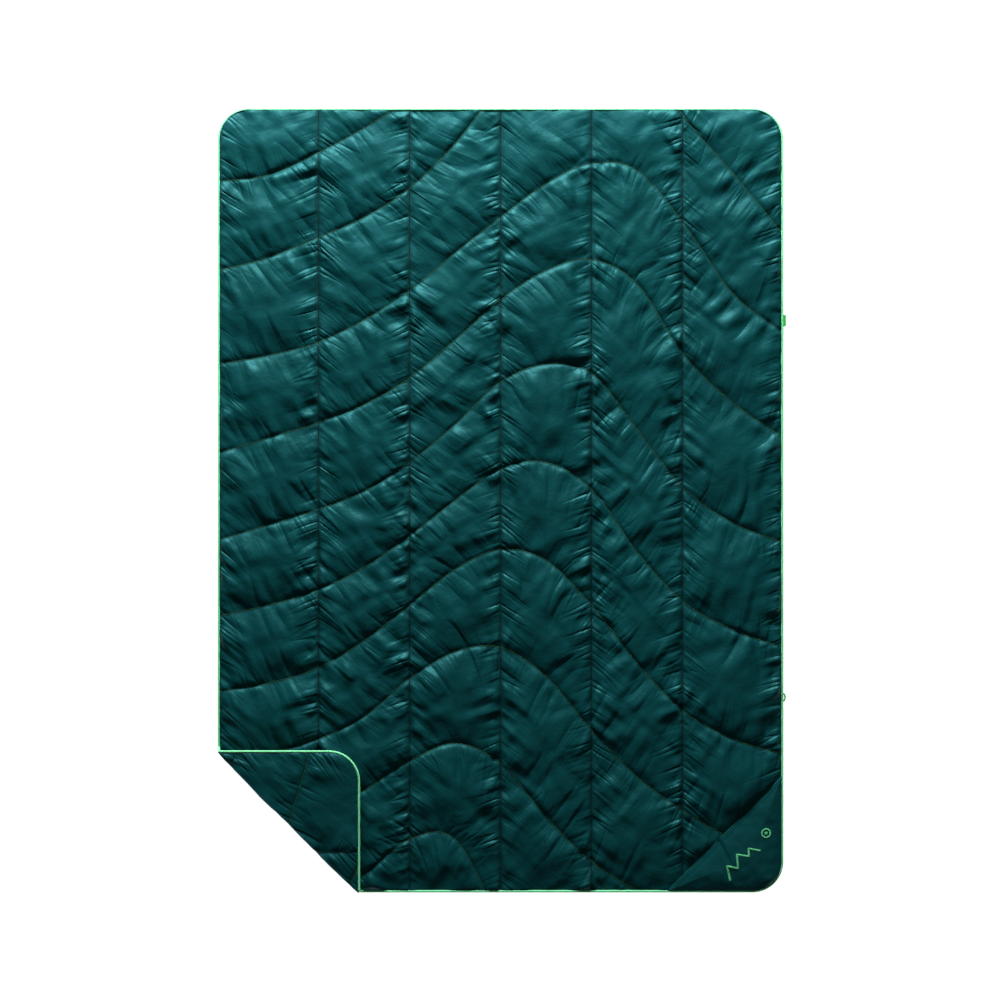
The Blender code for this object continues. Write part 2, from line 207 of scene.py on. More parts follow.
def coords(obj):
    found = np.empty(len(obj.data.vertices) * 3)
    obj.data.vertices.foreach_get("co", found)
    return found.reshape(-1, 3)


def set_coords(obj, places):
    obj.data.vertices.foreach_set("co", np.asarray(places, np.float32).ravel())
    obj.data.update()


def apply_modifiers(obj):
    bpy.ops.object.select_all(action="DESELECT")
    bpy.context.view_layer.objects.active = obj
    obj.select_set(True)
    for modifier in list(obj.modifiers):
        bpy.ops.object.modifier_apply(modifier=modifier.name)
    obj.select_set(False)


def thicken(obj, thickness, offset):
    """Gives a sheet its thickness: inward with offset -1, both ways with offset 0."""
    wall = obj.modifiers.new("wall", "SOLIDIFY")
    wall.thickness = thickness
    wall.offset = offset
    apply_modifiers(obj)


def add_grid(name, columns, rows):
    """A flat grid from -1 to 1 either way, with its points' places and the column that each is in."""
    bpy.ops.mesh.primitive_grid_add(x_subdivisions=columns, y_subdivisions=rows, size=2)
    obj = bpy.context.object
    obj.name = name
    obj.data.name = name
    flat = coords(obj)
    return obj, flat, np.rint((flat[:, 0] + 1) / 2 * columns).astype(int)


cell = 0.0085
chamber_rows = 24
on_line = 0.0001
cut_tolerance = 0.00001


def add_quilt_sheet(name):
    """A sheet whose grid follows the seams, cut to the blanket's outline."""
    lines_x = [-shell_x]
    for start, end in zip(column_seams, column_seams[1:]):
        cells = round((end - start) / cell)
        lines_x += list(np.linspace(start, end, cells + 1)[1:])
    lines_x = np.array(lines_x)
    lines_y = wave_seams(lines_x)
    rows = chamber_rows * (len(lines_y) - 1)
    sheet, flat, i = add_grid(name, len(lines_x) - 1, rows)
    row = np.rint((flat[:, 1] + 1) / 2 * rows).astype(int)
    k = np.minimum(row // chamber_rows, len(lines_y) - 2)
    t = (row - k * chamber_rows) / chamber_rows
    flat[:, 0] = lines_x[i]
    flat[:, 1] = lines_y[k, i] * (1 - t) + lines_y[k + 1, i] * t
    for side in (-shell_y, shell_y):
        near = np.abs(flat[:, 1] - side) < cell * 0.45
        flat[near, 1] = side
    set_coords(sheet, flat)
    bm = bmesh.new()
    bm.from_mesh(sheet.data)
    for side in (-1, 1):
        bmesh.ops.bisect_plane(
            bm,
            geom=list(bm.verts) + list(bm.edges) + list(bm.faces),
            plane_co=(0, side * shell_y, 0),
            plane_no=(0, side, 0),
            dist=cut_tolerance,
            clear_outer=True,
        )
    bm.to_mesh(sheet.data)
    bm.free()
    return sheet


quilt = add_quilt_sheet("quilt")
flat = coords(quilt)
x, y = flat[:, 0], flat[:, 1]
across, along, span = to_seams(x, y)
gap_to_wave = np.abs(wave_seams(x) - y[None, :]).min(axis=0)
on_seam = (across < on_line) | (gap_to_wave < on_line) | (np.abs(y) > shell_y - on_line)
start_rise = (layer_top - seam_face) * 0.72
column_swell, wave_swell = 0.085, 0.075


def swell(distance, reach):
    """How far fabric has risen at a distance from its seam: steep at the seam, level past reach."""
    t = np.clip(distance / reach, 0, 1)
    return np.sqrt(t * (2 - t))


start_z = seam_face + start_rise * swell(across, column_swell) * swell(along, wave_swell)
start_z += np.where(on_seam, 0, 0.0026 * soft_noise(x, y, 0.035, 3) + 0.0012 * soft_noise(x, y, 0.018, 4))
x, y = round_corners(x, y)
set_coords(quilt, np.column_stack([x, y, start_z]))

puff_frames = 24
pins = quilt.vertex_groups.new(name="seams")
pins.add([int(i) for i in np.nonzero(on_seam)[0]], 1, "REPLACE")
cloth = quilt.modifiers.new("cloth", "CLOTH")
cloth.settings.vertex_group_mass = "seams"
cloth.settings.quality = 5
cloth.settings.mass = 0.05
cloth.settings.tension_stiffness = 20
cloth.settings.compression_stiffness = 20
cloth.settings.shear_stiffness = 5
cloth.settings.bending_stiffness = 0.05
cloth.settings.shrink_min = -0.032
cloth.settings.shrink_max = -0.032
cloth.settings.use_pressure = True
cloth.settings.uniform_pressure_force = 2.0
cloth.settings.effector_weights.gravity = 0
cloth.point_cache.frame_start = 1
cloth.point_cache.frame_end = 30
for step in range(1, puff_frames + 1):
    scene.frame_set(step)
ease = quilt.modifiers.new("ease", "SMOOTH")
ease.factor = 0.5
ease.iterations = 3
ease.vertex_group = "seams"
ease.invert_vertex_group = True
apply_modifiers(quilt)

# The puffed face is arched across each chamber and drawn in to the layer's height. The back shell is the
# same sheet turned over, in a shallower puff that lies on the floor. The two are closed along the edge
# seam, and the whole is subdivided for the gathers beside the seams.
crest = layer_top - 0.0020
seam_dip = 0.0010
back_lift = 0.0004
arch_share = 0.60
places = coords(quilt)
places[:, 2] = np.maximum(places[:, 2], seam_face - seam_dip)
along, span = to_seams(places[:, 0], places[:, 1])[1:]
arch = 1 - (1 - np.clip(2 * along / np.maximum(span, cell), 0, 1)) ** 2
places[:, 2] = seam_face + (places[:, 2] - seam_face) * (1 - arch_share + arch_share * arch)
draw_in = (crest - seam_face) / (np.percentile(places[:, 2], 99) - seam_face)
places[:, 2] = seam_face + (places[:, 2] - seam_face) * draw_in
set_coords(quilt, places)
count = len(places)
thicken(quilt, seam_face - seam_back, -1)
places = coords(quilt)
puff = np.clip((places[:count, 2] - seam_face) / (crest - seam_face), 0, 1)
places[count:, :2] = places[:count, :2]
places[count:, 2] = seam_back - (seam_back - back_lift) * puff
set_coords(quilt, places)
smooth = quilt.modifiers.new("smooth", "SUBSURF")
smooth.levels = 1
smooth.render_levels = 1
apply_modifiers(quilt)

fold_axis = Vector(joints["corner_fold"]["axis"]).normalized()
fold_point = Vector(joints["corner_fold"]["pos_m"])
fold_sum = fold_point.x - middle + fold_point.y
patch_leg = 0.260
patch_edge = shell_x + shell_y - patch_leg


def seam_offsets(x, y):
    """For each point: distance from the nearest wavy seam, signed; how far along it; the seams' slope; and
    a weight that fades to nothing halfway between two seams."""
    table_x = np.linspace(-half_width, half_width, 400)
    table_y = wave_seams(table_x)
    steps = np.hypot(np.diff(table_x)[None, :], np.diff(table_y, axis=1))
    table_arc = np.concatenate([np.zeros((len(table_y), 1)), np.cumsum(steps, axis=1)], axis=1)
    lines = wave_seams(x)
    n = np.arange(len(x))
    nearest, second = np.argpartition(np.abs(lines - y[None, :]), 1, axis=0)[:2]
    slopes = np.array([np.interp(x, table_x, row) for row in np.gradient(table_y, table_x, axis=1)])
    offset, other = y - lines[nearest, n], np.abs(y - lines[second, n])
    slope = slopes[nearest, n]
    lean = 1 / np.sqrt(1 + slope**2)
    arc = np.array([np.interp(x, table_x, row) for row in table_arc])[nearest, n]
    between = (slope * other + slopes[second, n] * np.abs(offset)) / (other + np.abs(offset) + 0.001)
    fade = np.clip((other - np.abs(offset)) / 0.050, 0, 1)
    return offset * lean, arc + offset * slope * lean + 0.37 * nearest, between, fade * fade * (3 - 2 * fade)


def crease(distance, peak):
    """Strength of the gathers at a distance from a seam: none on it, most at the peak, then fading."""
    t = distance / peak
    return t * np.exp(1 - t)


def ridges(x, y, scale, seed):
    """Sharp-edged noise, from -1 to 1, high along thin lines."""
    return 1 - 2 * np.abs(soft_noise(x, y, scale, seed)) ** 0.75


def long_folds(x, y, slope):
    """Soft folds across a whole chamber, at right angles to the seams above and below it."""
    height = np.zeros(len(x))
    for number, lean in enumerate((-1.0, -0.35, 0.35, 1.0)):
        share = np.clip(1 - np.abs(np.clip(slope, -1, 1) - lean) / 0.68, 0, 1)
        size = math.hypot(1, lean)
        across, along = (x + lean * y) / size, (y - lean * x) / size
        bent = across + 0.010 * soft_noise(x, y, 0.060, 60 + number)
        height += share * soft_noise(bent, along * 0.30, 0.021, 70 + number)
        height += share * 0.7 * ridges(bent, along * 0.40, 0.038, 80 + number)
    return height


def gathers(x, y):
    """For each point: height of the creases that the seams gather into the cloth; the distance to the
    nearest straight and the nearest wavy seam; and, for each of the two, how far along it the point is,
    its signed distance from it, and a weight that fades to nothing halfway to the next."""
    i = np.abs(x[None, :] - column_seams[:, None]).argmin(axis=0)
    aside = np.abs(x - column_seams[i])
    side = np.sign(x - column_seams[i])
    slanted = y + (0.55 + 0.22 * side) * aside
    fine = soft_noise(aside * 0.30 + 0.9 * i, slanted, 0.0095, 11)
    wide = soft_noise(aside * 0.25 - 0.5 * side, slanted, 0.0190, 12)
    sharp = ridges(aside * 0.22 + 0.4 * side + i, slanted, 0.0140, 13)
    patchy = np.clip(0.8 + 0.6 * soft_noise(x, y, 0.070, 14), 0.2, 1.4)
    height = patchy * (0.0024 * crease(aside, 0.007) * (fine + 0.6 * sharp) + 0.0034 * crease(aside, 0.022) * wide)
    offset, arc, slope, fade = seam_offsets(x, y)
    away = np.abs(offset)
    fine = soft_noise(away * 0.30, arc, 0.0100, 15)
    wide = soft_noise(offset * 0.30, arc, 0.0240, 16)
    sharp = ridges(offset * 0.16, arc, 0.0180, 17)
    patchy = np.clip(0.6 + 0.8 * soft_noise(x, y, 0.060, 18), 0.05, 1.3)
    below = np.where(offset < 0, 1.2, 0.7)
    height += below * patchy * fade * 0.0015 * crease(away, 0.008) * (fine + sharp)
    height += below * patchy * fade * 0.0050 * crease(away, 0.030) * wide
    height += 0.0021 * long_folds(x, y, slope) * swell(away, 0.04) * swell(aside, 0.03)
    height += 0.0022 * patchy * crease(away, 0.012) + 0.0012 * crease(aside, 0.012)
    other_column = np.sort(np.abs(x[None, :] - column_seams[:, None]), axis=0)[1]
    column_fade = np.clip((other_column - aside) / 0.060, 0, 1)
    beside_column = np.column_stack([slanted + 0.31 * i, aside * side, column_fade])
    beside_wave = np.column_stack([arc + 0.25 * offset, offset, fade])
    return height, aside, away, beside_column, beside_wave


edge_lift, edge_slope, edge_flat = 0.0016, 1.4, 0.0024


def edge_ceiling(x, y):
    """How high the cloth may stand near the outline, so that the piping beside it shows."""
    corner_x, corner_y = shell_x - corner_radius + shell_inset, shell_y - corner_radius + shell_inset
    past_x, past_y = np.maximum(np.abs(x) - corner_x, 0), np.maximum(np.abs(y) - corner_y, 0)
    inside = corner_radius - shell_inset - np.hypot(past_x, past_y)
    return piping_height + edge_lift + edge_slope * np.clip(inside - edge_flat, 0, 1)


patch_lift, patch_puff, puff_reach = 0.0014, 0.0088, 0.024
crease_start, crease_run = np.array([0.479, -0.742]), np.array([0.036, -0.074])
crease_depth, crease_width = 0.0040, 0.0045


def patch_height(x, y):
    """Height of the corner patch: a low dome between its diagonal and the two edges, with one crease."""
    inner = np.minimum(np.minimum(shell_x - x, y + shell_y), (x - y - patch_edge) / math.sqrt(2))
    dome = patch_puff * (1 - np.exp(-np.clip(inner, 0, 1) / puff_reach))
    length = np.hypot(*crease_run)
    run = crease_run / length
    from_x, from_y = x - crease_start[0], y - crease_start[1]
    t = np.clip(from_x * run[0] + from_y * run[1], 0, length)
    off = np.hypot(from_x - t * run[0], from_y - t * run[1])
    groove = crease_depth * np.exp(-((off / crease_width) ** 2)) * (1 - 0.6 * t / length)
    groove = groove * np.clip(inner / 0.004, 0, 1)
    waves = 0.0011 * soft_noise(x + y, (x - y) * 0.45, 0.030, 21) + 0.0007 * soft_noise(x, y, 0.018, 22)
    laid = seam_face + patch_lift + dome - groove + waves * np.clip(inner / 0.02, 0, 1)
    return np.minimum(laid, edge_ceiling(*round_corners(x, y)) + 0.0007)


places = coords(quilt)
x, y, z = places.T
upper = z > piping_height
height, aside, away, beside_column, beside_wave = gathers(x, y)
highest, softness = layer_top - 0.0008, 0.0009
patch_dip, under_patch = 0.040, 0.0018
face_z = highest - softness * np.logaddexp(0, (highest - z - height) / softness)
to_diagonal = (x - y - patch_edge) / math.sqrt(2)
dipped = seam_face + (face_z - seam_face) * swell(np.abs(to_diagonal), patch_dip)
face_z = np.where(to_diagonal > -patch_dip - 0.005, dipped, face_z)
face_z = np.where(to_diagonal > -0.001, np.minimum(face_z, patch_height(x, y) - under_patch), face_z)
face_z = np.minimum(face_z, edge_ceiling(x, y))
face_z = np.clip(face_z, seam_face - seam_dip, layer_top - 0.0006)
back_creases = 0.6 * height * np.clip((seam_back + 0.002 - z) / 0.006, 0, 1)
back_z = np.clip(z - back_creases, back_lift / 2, seam_back + seam_dip)
places[:, 2] = np.where(upper, face_z, back_z)
set_coords(quilt, places)
# Painted shade: a weight that is highest on the seams and fades within a few millimetres, used to darken the
# shell's colour where the seams lie in shade (and to roughen it there).
seam_shade = quilt.data.attributes.new("seam_shade", "FLOAT", "POINT")
painted_shade = np.maximum(np.exp(-((aside / 0.0042) ** 2)), 0.7 * np.exp(-((away / 0.0030) ** 2)))
seam_shade.data.foreach_set("value", painted_shade.astype(np.float32))
for name, values in (("beside_column", beside_column), ("beside_wave", beside_wave)):
    beside_seam = quilt.data.attributes.new(name, "FLOAT_VECTOR", "POINT")
    beside_seam.data.foreach_set("vector", values.astype(np.float32).ravel())


def keep_side(obj, sign):
    """Cuts a shell pair along the fold of the corner and closes the cut; sign -1 keeps the corner."""
    bm = bmesh.new()
    bm.from_mesh(obj.data)
    bmesh.ops.bisect_plane(
        bm,
        geom=list(bm.verts) + list(bm.edges) + list(bm.faces),
        plane_co=(fold_sum / 2, fold_sum / 2, 0),
        plane_no=(sign, sign, 0),
        dist=cut_tolerance,
        clear_inner=True,
    )
    rim = [edge for edge in bm.edges if edge.is_boundary]
    for face in bmesh.ops.holes_fill(bm, edges=rim, sides=0)["faces"]:
        for edge in face.edges:
            edge.smooth = False
    bmesh.ops.recalc_face_normals(bm, faces=bm.faces)
    bm.to_mesh(obj.data)
    bm.free()


def copy_of(obj, name):
    twin = obj.copy()
    twin.data = obj.data.copy()
    twin.name = name
    twin.data.name = name
    scene.collection.objects.link(twin)
    return twin


half_turn = (
    Matrix.Translation(fold_point) @ Matrix.Rotation(math.pi, 4, fold_axis) @ Matrix.Translation(-fold_point)
)


def shade_smooth(obj):
    for polygon in obj.data.polygons:
        polygon.use_smooth = True


def into_place(obj, turned=False):
    """Moves a piece from the blanket's middle to the model's, and turns a corner piece over its fold."""
    move = Matrix.Translation((middle, 0, 0))
    obj.data.transform(half_turn @ move if turned else move)
    shade_smooth(obj)


flap = copy_of(quilt, "flap")
keep_side(quilt, 1)
keep_side(flap, -1)


def surface_tree(obj):
    """A look-up of the height of a sewn surface, for what is laid on it."""
    return BVHTree.FromPolygons(coords(obj).tolist(), [tuple(polygon.vertices) for polygon in obj.data.polygons])


main_tree = surface_tree(quilt)
flap_tree = surface_tree(flap)


def drop(tree, points, lift, from_below=False):
    """Points moved straight down, or up from below, onto a surface, and lifted off it by a little."""
    down = 1 if from_below else -1
    placed = []
    for x, y, z in points:
        hit = tree.ray_cast(Vector((x, y, -0.1 if from_below else 0.1)), Vector((0, 0, down)))[0]
        placed.append((x, y, (hit.z if hit else z) - down * lift))
    return np.array(placed)


class Value:
    """A shader value in ordinary arithmetic: each operation on it adds its Math node."""

    def __init__(self, look, socket):
        self.look = look
        self.socket = socket

    def math(self, operation, *values):
        return self.look.node("ShaderNodeMath", {"operation": operation}, dict(enumerate(values)))

    def __add__(self, other):
        return self.math("ADD", self, other)

    __radd__ = __add__

    def __sub__(self, other):
        return self.math("SUBTRACT", self, other)

    def __rsub__(self, other):
        return self.math("SUBTRACT", other, self)

    def __mul__(self, other):
        return self.math("MULTIPLY", self, other)

    __rmul__ = __mul__

    def __truediv__(self, other):
        return self.math("DIVIDE", self, other)

    def __pow__(self, other):
        return self.math("POWER", self, other)

    def __abs__(self):
        return self.math("ABSOLUTE", self)

    def sine(self):
        return self.math("SINE", self)

    def exponential(self):
        return self.math("EXPONENT", self)

    def at_most(self, limit):
        return self.math("MINIMUM", self, limit)


class Look:
    """A finish: one Principled shader, with procedural nodes feeding it."""

    def __init__(self, name):
        self.material = bpy.data.materials.new(name)
        self.material.use_nodes = True
        self.tree = self.material.node_tree
        self.shader = self.tree.nodes["Principled BSDF"]
        self.place = self.node("ShaderNodeTexCoord", output="Object")

    def node(self, kind, settings=None, values=None, output=0):
        node = self.tree.nodes.new(kind)
        for key, setting in (settings or {}).items():
            setattr(node, key, setting)
        for key, value in (values or {}).items():
            self.plug(node.inputs[key], value)
        return Value(self, node.outputs[output])

    def plug(self, socket, value):
        if isinstance(value, Value):
            self.tree.links.new(value.socket, socket)
        else:
            socket.default_value = value

    def finish(self, **finish):
        for name, value in finish.items():
            self.plug(self.shader.inputs[name.replace("_", " ")], value)

    def noise(self, scale, detail=3, distortion=0, vector=None):
        values = {"Vector": vector or self.place, "Scale": scale, "Detail": detail, "Distortion": distortion}
        return self.node("ShaderNodeTexNoise", values=values, output="Fac")

    def mix(self, factor, a, b):
        return self.node("ShaderNodeMix", {"data_type": "RGBA"}, {0: factor, 6: a, 7: b}, output=2)

    def bump(self, height, distance, strength=1, under=None):
        values = {"Height": height, "Distance": distance, "Strength": strength}
        if under:
            values["Normal"] = under
        return self.node("ShaderNodeBump", values=values, output="Normal")

    def axes(self, vector=None):
        split = self.node("ShaderNodeSeparateXYZ", values={0: vector or self.place})
        return [Value(self, output) for output in split.socket.node.outputs]


def pinches(look, attribute, pitch, reach, strength):
    """Narrow creases running out of a seam: pitch apart along it, strongest at reach from it."""
    run = look.node("ShaderNodeAttribute", {"attribute_name": attribute}, output="Vector")
    along, offset, weight = look.axes(run)
    vector = look.node("ShaderNodeCombineXYZ", values={0: along, 1: offset * 0.20})
    groove = abs(look.noise(1 / pitch, 1, 0.6, vector) - 0.5) * 10
    near = abs(offset) / reach
    return near * (1 - near).exponential() * groove.at_most(1) * weight * strength


def nylon(name, deep, pale, roughness):
    """Thin calendered nylon: soft crinkles, a faint ripstop grid, fine creases out of the seams, and painted
    shade that darkens the cloth's colour down in them."""
    look = Look(name)
    x, y, z = look.axes()
    cloud = look.noise(6, 3, 0.4)
    crinkle = look.noise(26, 2, 0.9)
    pucker = look.noise(58, 2, 1.3)
    small = look.noise(130, 2, 0.4)
    step = 2 * math.pi / ripstop_pitch
    bars = (x * step).sine() ** 24 + (y * step).sine() ** 24
    # Painted shade: along the seams the base colour is mixed towards a much darker teal, standing in for the shade
    # down in the seam folds.
    seam = look.node("ShaderNodeAttribute", {"attribute_name": "seam_shade"}, output="Fac")
    shadowed = tuple(part * 0.12 for part in deep[:3]) + (1,)
    spots = {"Value": look.noise(9, 1), "From Min": 0.36, "From Max": 0.60}
    patchy = look.node("ShaderNodeMapRange", values=spots)
    fine = pinches(look, "beside_column", 0.036, 0.014, 1.1) + pinches(look, "beside_wave", 0.036, 0.015, 0.6)
    creases = fine * (patchy * 0.8 + 0.2) + pinches(look, "beside_wave", 0.085, 0.036, 1.0)
    folded = look.bump(creases, 0.0022, 1)
    look.finish(
        Base_Color=look.mix(seam * 0.85, look.mix(cloud, deep, pale), shadowed),
        Roughness=roughness + (cloud - 0.5) * 0.10 + seam * 0.25,
        Specular_IOR_Level=0.40,
        Specular_Tint=(0.20, 0.95, 1.0, 1),
        Normal=look.bump(crinkle + pucker * 0.45 + small * 0.10 + bars * 0.01, 0.0020, 0.50, under=folded),
    )
    return look.material


ripstop_pitch = 0.0104
deep_teal = (0.0002, 0.030, 0.033, 1)
pale_teal = (0.0006, 0.050, 0.054, 1)
shell_look = nylon("shell_nylon", deep_teal, pale_teal, 0.50)
for piece in (quilt, flap):
    piece.data.materials.clear()
    piece.data.materials.append(shell_look)
into_place(quilt)
into_place(flap, turned=True)
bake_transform(quilt)
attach(flap, "corner_flap")
shell_nodes = ("face_shell", "back_shell", "insulation")
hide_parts(*[f"{part}_{side}" for part in shell_nodes for side in ("left", "right")])
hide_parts(*[f"{part}_corner" for part in shell_nodes])

# ---------------------------------------------------------------------------------------------
# Fold roll: the back shell where it wraps round the outside of the turned-over corner, from the
# layer on the floor up to the layer on top.
# ---------------------------------------------------------------------------------------------
roll_turns = 14
roll_stations = 170
roll_bulge = 0.0062
roll_taper = 24
roll_inset = 0.0015
fabric_thickness = 0.0006
edge_x = np.linspace(-shell_x + roll_inset, fold_sum + shell_y - roll_inset, roll_stations)
edge_points = np.column_stack([edge_x, fold_sum - edge_x - 0.0004, np.full(roll_stations, seam_back)])
edge_z = drop(flap_tree, edge_points, 0, from_below=True)[:, 2]
fold_roll, flat, i = add_grid("fold_roll", roll_stations - 1, roll_turns)
turn = (flat[:, 1] + 1) / 2 * math.pi
half_height = layer_top - edge_z[i]
ends = np.clip(np.minimum(i, roll_stations - 1 - i) / roll_taper, 0, 1)
bulge = roll_bulge * (half_height / layer_top) ** 1.5 * np.sqrt(ends * (2 - ends))
wrinkle = 0.0007 * soft_noise(edge_x[i], turn * 0.004, 0.012, 31)
out = (bulge + wrinkle * ends) * np.sin(turn) / math.sqrt(2)
flat[:, 0] = edge_x[i] - out
flat[:, 1] = fold_sum - edge_x[i] - out
flat[:, 2] = layer_top - half_height * np.cos(turn)
set_coords(fold_roll, flat)


def face_outward(obj):
    bm = bmesh.new()
    bm.from_mesh(obj.data)
    bmesh.ops.recalc_face_normals(bm, faces=bm.faces)
    bm.to_mesh(obj.data)
    bm.free()


thicken(fold_roll, fabric_thickness, 0)
face_outward(fold_roll)
fold_roll.data.materials.append(shell_look)
into_place(fold_roll)
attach(fold_roll, "left_half")
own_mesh(fold_roll)

# ---------------------------------------------------------------------------------------------
# Piping: a strip of mint binding fabric folded round a filler cord and sewn into the edge seam, so
# that it stands out as a round bead all the way round the blanket.
# ---------------------------------------------------------------------------------------------
bead_step = 0.0035


def evenly(points, step):
    """Points the same distance apart along a line of points."""
    points = np.asarray(points, float)
    arc = np.concatenate([[0], np.cumsum(np.linalg.norm(np.diff(points, axis=0), axis=1))])
    stops = np.linspace(0, arc[-1], max(int(round(arc[-1] / step)), 2) + 1)
    return np.column_stack([np.interp(stops, arc, points[:, k]) for k in range(3)])


def edge_line(corners):
    """The edge from point to point at the piping's middle, each corner between turned on its radius."""
    radius = corner_radius - piping_radius
    line = [Vector(corners[0])]
    for before, corner, after in zip(corners, corners[1:], corners[2:]):
        corner = Vector(corner)
        to_before = (Vector(before) - corner).normalized() * radius
        to_after = (Vector(after) - corner).normalized() * radius
        centre = corner + to_before + to_after
        for step in range(25):
            angle = math.pi / 2 * step / 24
            line.append(centre - to_after * math.cos(angle) - to_before * math.sin(angle))
    line.append(Vector(corners[-1]))
    return np.array([(*point, piping_height) for point in line])


def add_tube(name, lines, radius, sides, wander=None):
    """Round tubes along lines of points, made from one curve and turned into a mesh."""
    curve = bpy.data.curves.new(name, "CURVE")
    curve.dimensions = "3D"
    curve.bevel_depth = radius
    curve.bevel_resolution = sides
    curve.use_fill_caps = True
    for line in lines:
        spline = curve.splines.new("POLY")
        spline.points.add(len(line) - 1)
        for k, place in enumerate(line):
            spline.points[k].co = (*place, 1)
            spline.points[k].radius = wander[k] if wander is not None else 1
    tube = bpy.data.objects.new(name, curve)
    scene.collection.objects.link(tube)
    bpy.ops.object.select_all(action="DESELECT")
    tube.select_set(True)
    bpy.context.view_layer.objects.active = tube
    bpy.ops.object.convert(target="MESH")
    tube = bpy.context.object
    tube.name = name
    tube.data.name = name
    tube.select_set(False)
    return tube


def add_bead(name, line, seed, step=bead_step):
    """A round bead of binding along a line, its fabric slightly gathered."""
    points = evenly(line, step)
    gather = soft_noise(np.arange(len(points)) * bead_step, np.zeros(len(points)), 0.011, seed)
    return add_tube(name, [points], piping_radius, 4, 0.97 + 0.05 * gather)


bead_x = half_width - piping_radius
bead_y = half_length - piping_radius
fold_y = fold_sum + half_width
fold_x = fold_sum + half_length
bend = 0.010
left_end, foot_end = (-bead_x, fold_y + bend), (fold_x + bend, -bead_y)
main_edge = edge_line([left_end, (-bead_x, bead_y), (bead_x, bead_y), (bead_x, -bead_y), foot_end])
corner_edge = edge_line([(-bead_x, fold_y - bend), (-bead_x, -bead_y), (fold_x - bend, -bead_y)])
piping = add_bead("piping", main_edge, 41)
flap_piping = add_bead("flap_piping", corner_edge, 42)
bend_step = 0.0015
bend_radius = 0.0085
tucked_in = 0.001


def bend_line(mirrored):
    """The piping where it climbs round an end of the fold, from the lower layer to the upper one."""
    top = 2 * layer_top - piping_height
    turn_y = fold_sum + bead_x
    line = [(-bead_x, fold_y + bend + tucked_in, piping_height)]
    for t in np.linspace(0, 1, 33):
        angle = math.pi / 2 * t
        climb = t * t * (3 - 2 * t)
        x = -bead_x + bend_radius * (1 - math.cos(angle))
        y = turn_y + bend_radius * (1 - math.sin(angle))
        line.append((x, y, piping_height + (top - piping_height) * climb))
    line.append((-half_width + bend + tucked_in, turn_y, top))
    line = np.array(line)
    if mirrored:
        longer = half_length - half_width
        line[:, :2] = line[:, 1::-1] + (longer, -longer)
    return line


upper_bend = add_bead("piping_bend_left", bend_line(False), 43, bend_step)
lower_bend = add_bead("piping_bend_foot", bend_line(True), 44, bend_step)


def twill(name, deep, pale, pitch=0.0011, depth=0.0003, roughness=0.62, gloss=0.2):
    """Woven tape or thread: diagonal ribs, slightly uneven in colour."""
    look = Look(name)
    x, y, z = look.axes()
    step = 2 * math.pi / pitch
    ribs = ((x + y + z * 0.6) * step).sine() * 0.5 + 0.5
    uneven = look.noise(160, 3)
    broad = look.noise(22, 2)
    look.finish(
        Base_Color=look.mix(ribs * 0.35 + uneven * 0.35 + broad * 0.3, deep, pale),
        Roughness=roughness + uneven * 0.12,
        Specular_IOR_Level=gloss,
        Normal=look.bump(ribs * 0.6 + uneven * 0.6, depth, 0.6),
    )
    return look.material


binding_look = twill("mint_binding", (0.16, 0.70, 0.32, 1), (0.30, 0.94, 0.50, 1))
for bead in (piping, flap_piping, upper_bend, lower_bend):
    bead.data.materials.append(binding_look)
    into_place(bead, turned=bead is flap_piping)
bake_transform(piping)
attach(flap_piping, "corner_flap")
for bead in (upper_bend, lower_bend):
    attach(bead, "left_half")
    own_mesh(bead)
piping_nodes = [name for name in frame["nodes"] if name.startswith("piping_")]
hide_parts(*[name for name in piping_nodes if "corner" not in name])
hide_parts(*[name for name in piping_nodes if "corner" in name])

# ---------------------------------------------------------------------------------------------
# Quilting thread: lockstitches along every seam, olive green in the wavy seams and dark teal in the
# straight ones, seen as a row of short stitches on the face and on the back.
# ---------------------------------------------------------------------------------------------
stitch_pitch = 0.0036
stitch_length = 0.0032
stitch_radius = 0.00046
stitch_lift = 0.00022
stitch_margin = 0.002


def add_stitches(name, runs):
    """One mesh of small stitches laid end to end along each run of points."""
    bpy.ops.mesh.primitive_uv_sphere_add(segments=5, ring_count=3, radius=1)
    pattern = bpy.context.object
    shape = coords(pattern) * (stitch_radius, stitch_radius, stitch_length / 2)
    shape[:, :2] *= 1.15
    faces = [tuple(polygon.vertices) for polygon in pattern.data.polygons]
    bpy.data.objects.remove(pattern)
    places, polygons = [], []
    for run in runs:
        points = evenly(run, stitch_pitch)
        for a, b in zip(points, points[1:]):
            along = (b - a) / np.linalg.norm(b - a)
            side = np.cross((0, 0, 1), along)
            side /= np.linalg.norm(side)
            base = len(places) * len(shape)
            places.append((a + b) / 2 + shape @ np.array([side, np.cross(along, side), along]))
            polygons += [tuple(v + base for v in face) for face in faces]
    mesh = bpy.data.meshes.new(name)
    mesh.from_pydata(np.concatenate(places).tolist(), [], polygons)
    stitches = bpy.data.objects.new(name, mesh)
    scene.collection.objects.link(stitches)
    return stitches


def runs_of(x, y, keep):
    """The kept stretches of a line, each as its own list of points."""
    x, y = round_corners(np.asarray(x, float), np.asarray(y, float))
    points = np.column_stack([x, y, np.full(len(x), piping_height)])
    cuts = np.nonzero(np.diff(keep.astype(int)))[0] + 1
    return [run for run, kept in zip(np.split(points, cuts), np.split(keep, cuts)) if kept[0] and len(run) > 3]


